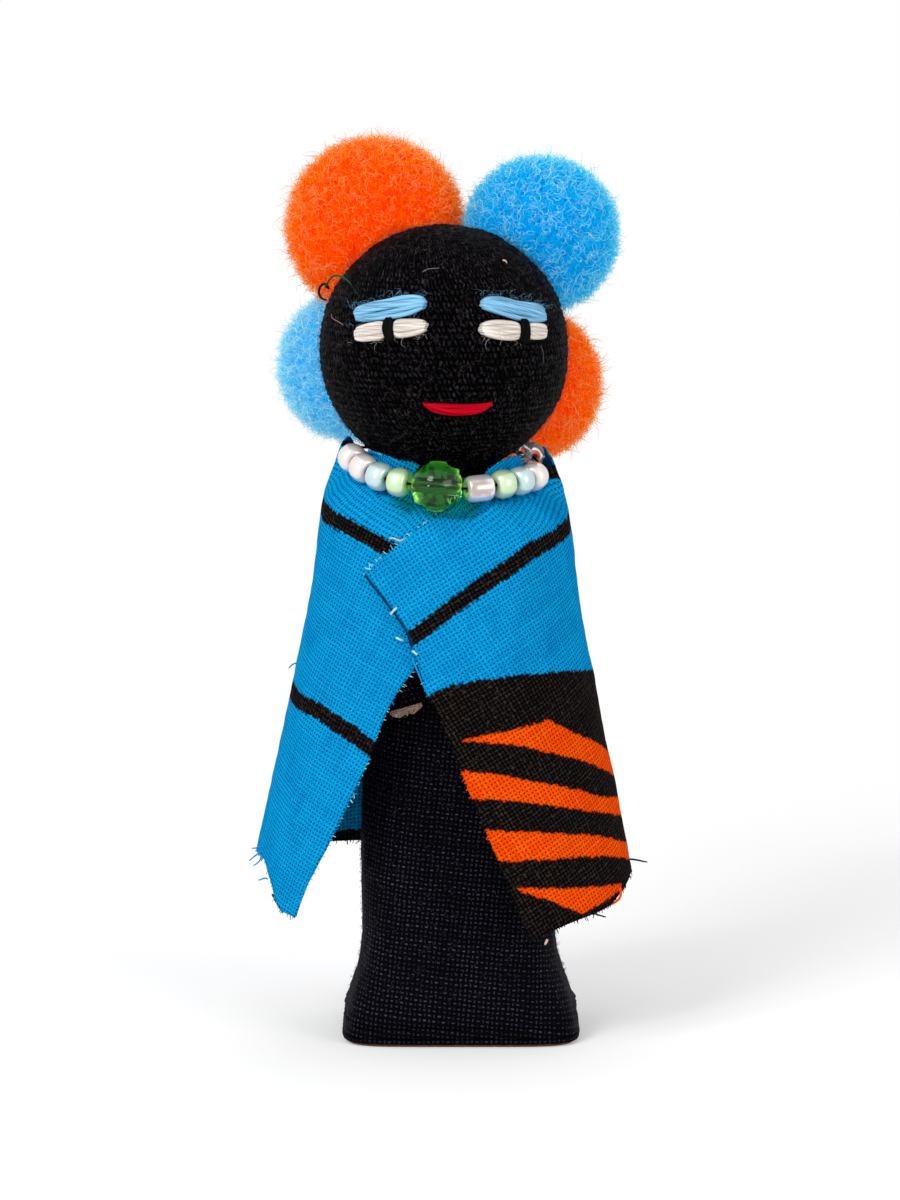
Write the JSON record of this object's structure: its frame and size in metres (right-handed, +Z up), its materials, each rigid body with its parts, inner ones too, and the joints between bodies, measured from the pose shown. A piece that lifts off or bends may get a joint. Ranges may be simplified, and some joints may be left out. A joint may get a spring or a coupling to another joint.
{
  "type": "yarn doll",
  "caption": "Small stuffed cloth doll with yarn pompom hair, a stitched face, an overlapped cloth shawl, sleeved arms and a bead necklace; the head turns and nods.",
  "frame": {"origin": "centre of the base card's underside, on which the doll stands", "axes": "+Z up along the body, -Y the way the face looks, +X towards the doll's left hand"},
  "size_m": [0.0524, 0.052, 0.1238],
  "materials": {
    "card": "matt",
    "body_cloth": "matt, woven",
    "stuffing": "matt",
    "shawl_print": "matt, woven and printed",
    "tack_thread": "matt",
    "black_thread": "matt",
    "head_knit": "matt, knitted",
    "orange_yarn": "matt",
    "blue_yarn": "matt",
    "pale_blue_thread": "satin stitch",
    "cream_thread": "satin stitch",
    "red_thread": "satin stitch",
    "tan_cloth": "matt",
    "green_glass": "clear, faceted",
    "pearl_green": "pearl",
    "pearl_aqua": "pearl",
    "pearl_white": "pearl",
    "silver_bead": "silver pearl",
    "clear_bead": "clear, silver lined"
  },
  "bodies": {
    "doll_body": {"base_card": "card", "body_cover": "body_cloth", "body_stuffing": "stuffing", "shawl": "shawl_print", "tack_stitch_top": "tack_thread", "tack_stitch_middle": "tack_thread", "tack_stitch_low": "tack_thread", "necklace_thread": "black_thread"},
    "doll_neck": {"neck_tail": "head_knit", "neck_thread": "black_thread"},
    "doll_head": {"head_cover": "head_knit", "head_stuffing": "stuffing", "pompom_orange_top": "orange_yarn", "pompom_blue_top": "blue_yarn", "pompom_blue_side": "blue_yarn", "pompom_orange_side": "orange_yarn", "eyelid_right": "pale_blue_thread", "eyelid_left": "pale_blue_thread", "eye_white_right": "cream_thread", "eye_white_left": "cream_thread", "pupil_right": "black_thread", "pupil_left": "black_thread", "mouth": "red_thread"},
    "doll_arm_right": {"arm_right": "body_cloth", "hand_right": "tan_cloth"},
    "doll_arm_left": {"arm_left": "body_cloth", "hand_left": "tan_cloth"},
    "turning_bead_green_large": {"bead_green_large": "green_glass"},
    "turning_bead_green_right": {"bead_green_right": "pearl_green"},
    "turning_bead_aqua_right": {"bead_aqua_right": "pearl_aqua"},
    "turning_bead_white_right_inner": {"bead_white_right_inner": "pearl_white"},
    "turning_bead_white_right_outer": {"bead_white_right_outer": "pearl_white"},
    "turning_bead_silver_tube": {"bead_silver_tube": "silver_bead"},
    "turning_bead_green_left": {"bead_green_left": "pearl_green"},
    "turning_bead_aqua_left": {"bead_aqua_left": "pearl_aqua"},
    "turning_bead_white_left": {"bead_white_left": "pearl_white"},
    "turning_bead_clear_back": {"bead_clear_back": "clear_bead"}
  },
  "joints": [
    {"name": "head_turn", "type": "hinge", "parent": "doll_body", "child": "doll_neck", "pos_m": [-0.00235, 0, 0.09555], "axis": [0, 0, 1], "range_deg": [-20, 20]},
    {"name": "head_nod", "type": "hinge", "parent": "doll_neck", "child": "doll_head", "pos_m": [-0.00235, 0, 0.09555], "axis": [1, 0, 0], "range_deg": [-4, 10]},
    {"name": "arm_right_swing", "type": "hinge", "parent": "doll_body", "child": "doll_arm_right", "pos_m": [-0.01572, -0.00337, 0.0715], "axis": [-0.9703, -0.2419, 0], "range_deg": [-1, 5]},
    {"name": "arm_left_swing", "type": "hinge", "parent": "doll_body", "child": "doll_arm_left", "pos_m": [0.01131, -0.00337, 0.0715], "axis": [-0.9703, 0.2419, 0], "range_deg": [-1, 5]},
    {"name": "bead_green_large_spin", "type": "hinge", "parent": "doll_body", "child": "turning_bead_green_large", "pos_m": [-0.00332, -0.01347, 0.0781], "axis": [0.9945, -0.0713, -0.0769], "continuous": true},
    {"name": "bead_green_right_spin", "type": "hinge", "parent": "doll_body", "child": "turning_bead_green_right", "pos_m": [-0.00843, -0.01206, 0.0785], "axis": [0.8866, -0.4474, -0.1178], "continuous": true},
    {"name": "bead_aqua_right_spin", "type": "hinge", "parent": "doll_body", "child": "turning_bead_aqua_right", "pos_m": [-0.01117, -0.01023, 0.07906], "axis": [0.7396, -0.6379, -0.2147], "continuous": true},
    {"name": "bead_white_right_inner_spin", "type": "hinge", "parent": "doll_body", "child": "turning_bead_white_right_inner", "pos_m": [-0.01338, -0.00779, 0.07995], "axis": [0.5504, -0.7796, -0.299], "continuous": true},
    {"name": "bead_white_right_outer_spin", "type": "hinge", "parent": "doll_body", "child": "turning_bead_white_right_outer", "pos_m": [-0.01494, -0.00489, 0.08098], "axis": [0.3492, -0.9006, -0.2587], "continuous": true},
    {"name": "bead_silver_tube_spin", "type": "hinge", "parent": "doll_body", "child": "turning_bead_silver_tube", "pos_m": [0.0024, -0.01264, 0.07772], "axis": [0.9348, 0.3512, 0.0522], "continuous": true},
    {"name": "bead_green_left_spin", "type": "hinge", "parent": "doll_body", "child": "turning_bead_green_left", "pos_m": [0.0057, -0.01084, 0.07809], "axis": [0.8009, 0.5949, 0.0683], "continuous": true},
    {"name": "bead_aqua_left_spin", "type": "hinge", "parent": "doll_body", "child": "turning_bead_aqua_left", "pos_m": [0.00809, -0.00857, 0.07828], "axis": [0.6339, 0.7719, 0.0475], "continuous": true},
    {"name": "bead_white_left_spin", "type": "hinge", "parent": "doll_body", "child": "turning_bead_white_left", "pos_m": [0.01, -0.00547, 0.07851], "axis": [0.4009, 0.9043, 0.1465], "continuous": true},
    {"name": "bead_clear_back_spin", "type": "hinge", "parent": "doll_body", "child": "turning_bead_clear_back", "pos_m": [0.00962, 0.00276, 0.08047], "axis": [-0.4977, 0.8609, 0.1061], "continuous": true}
  ]
}
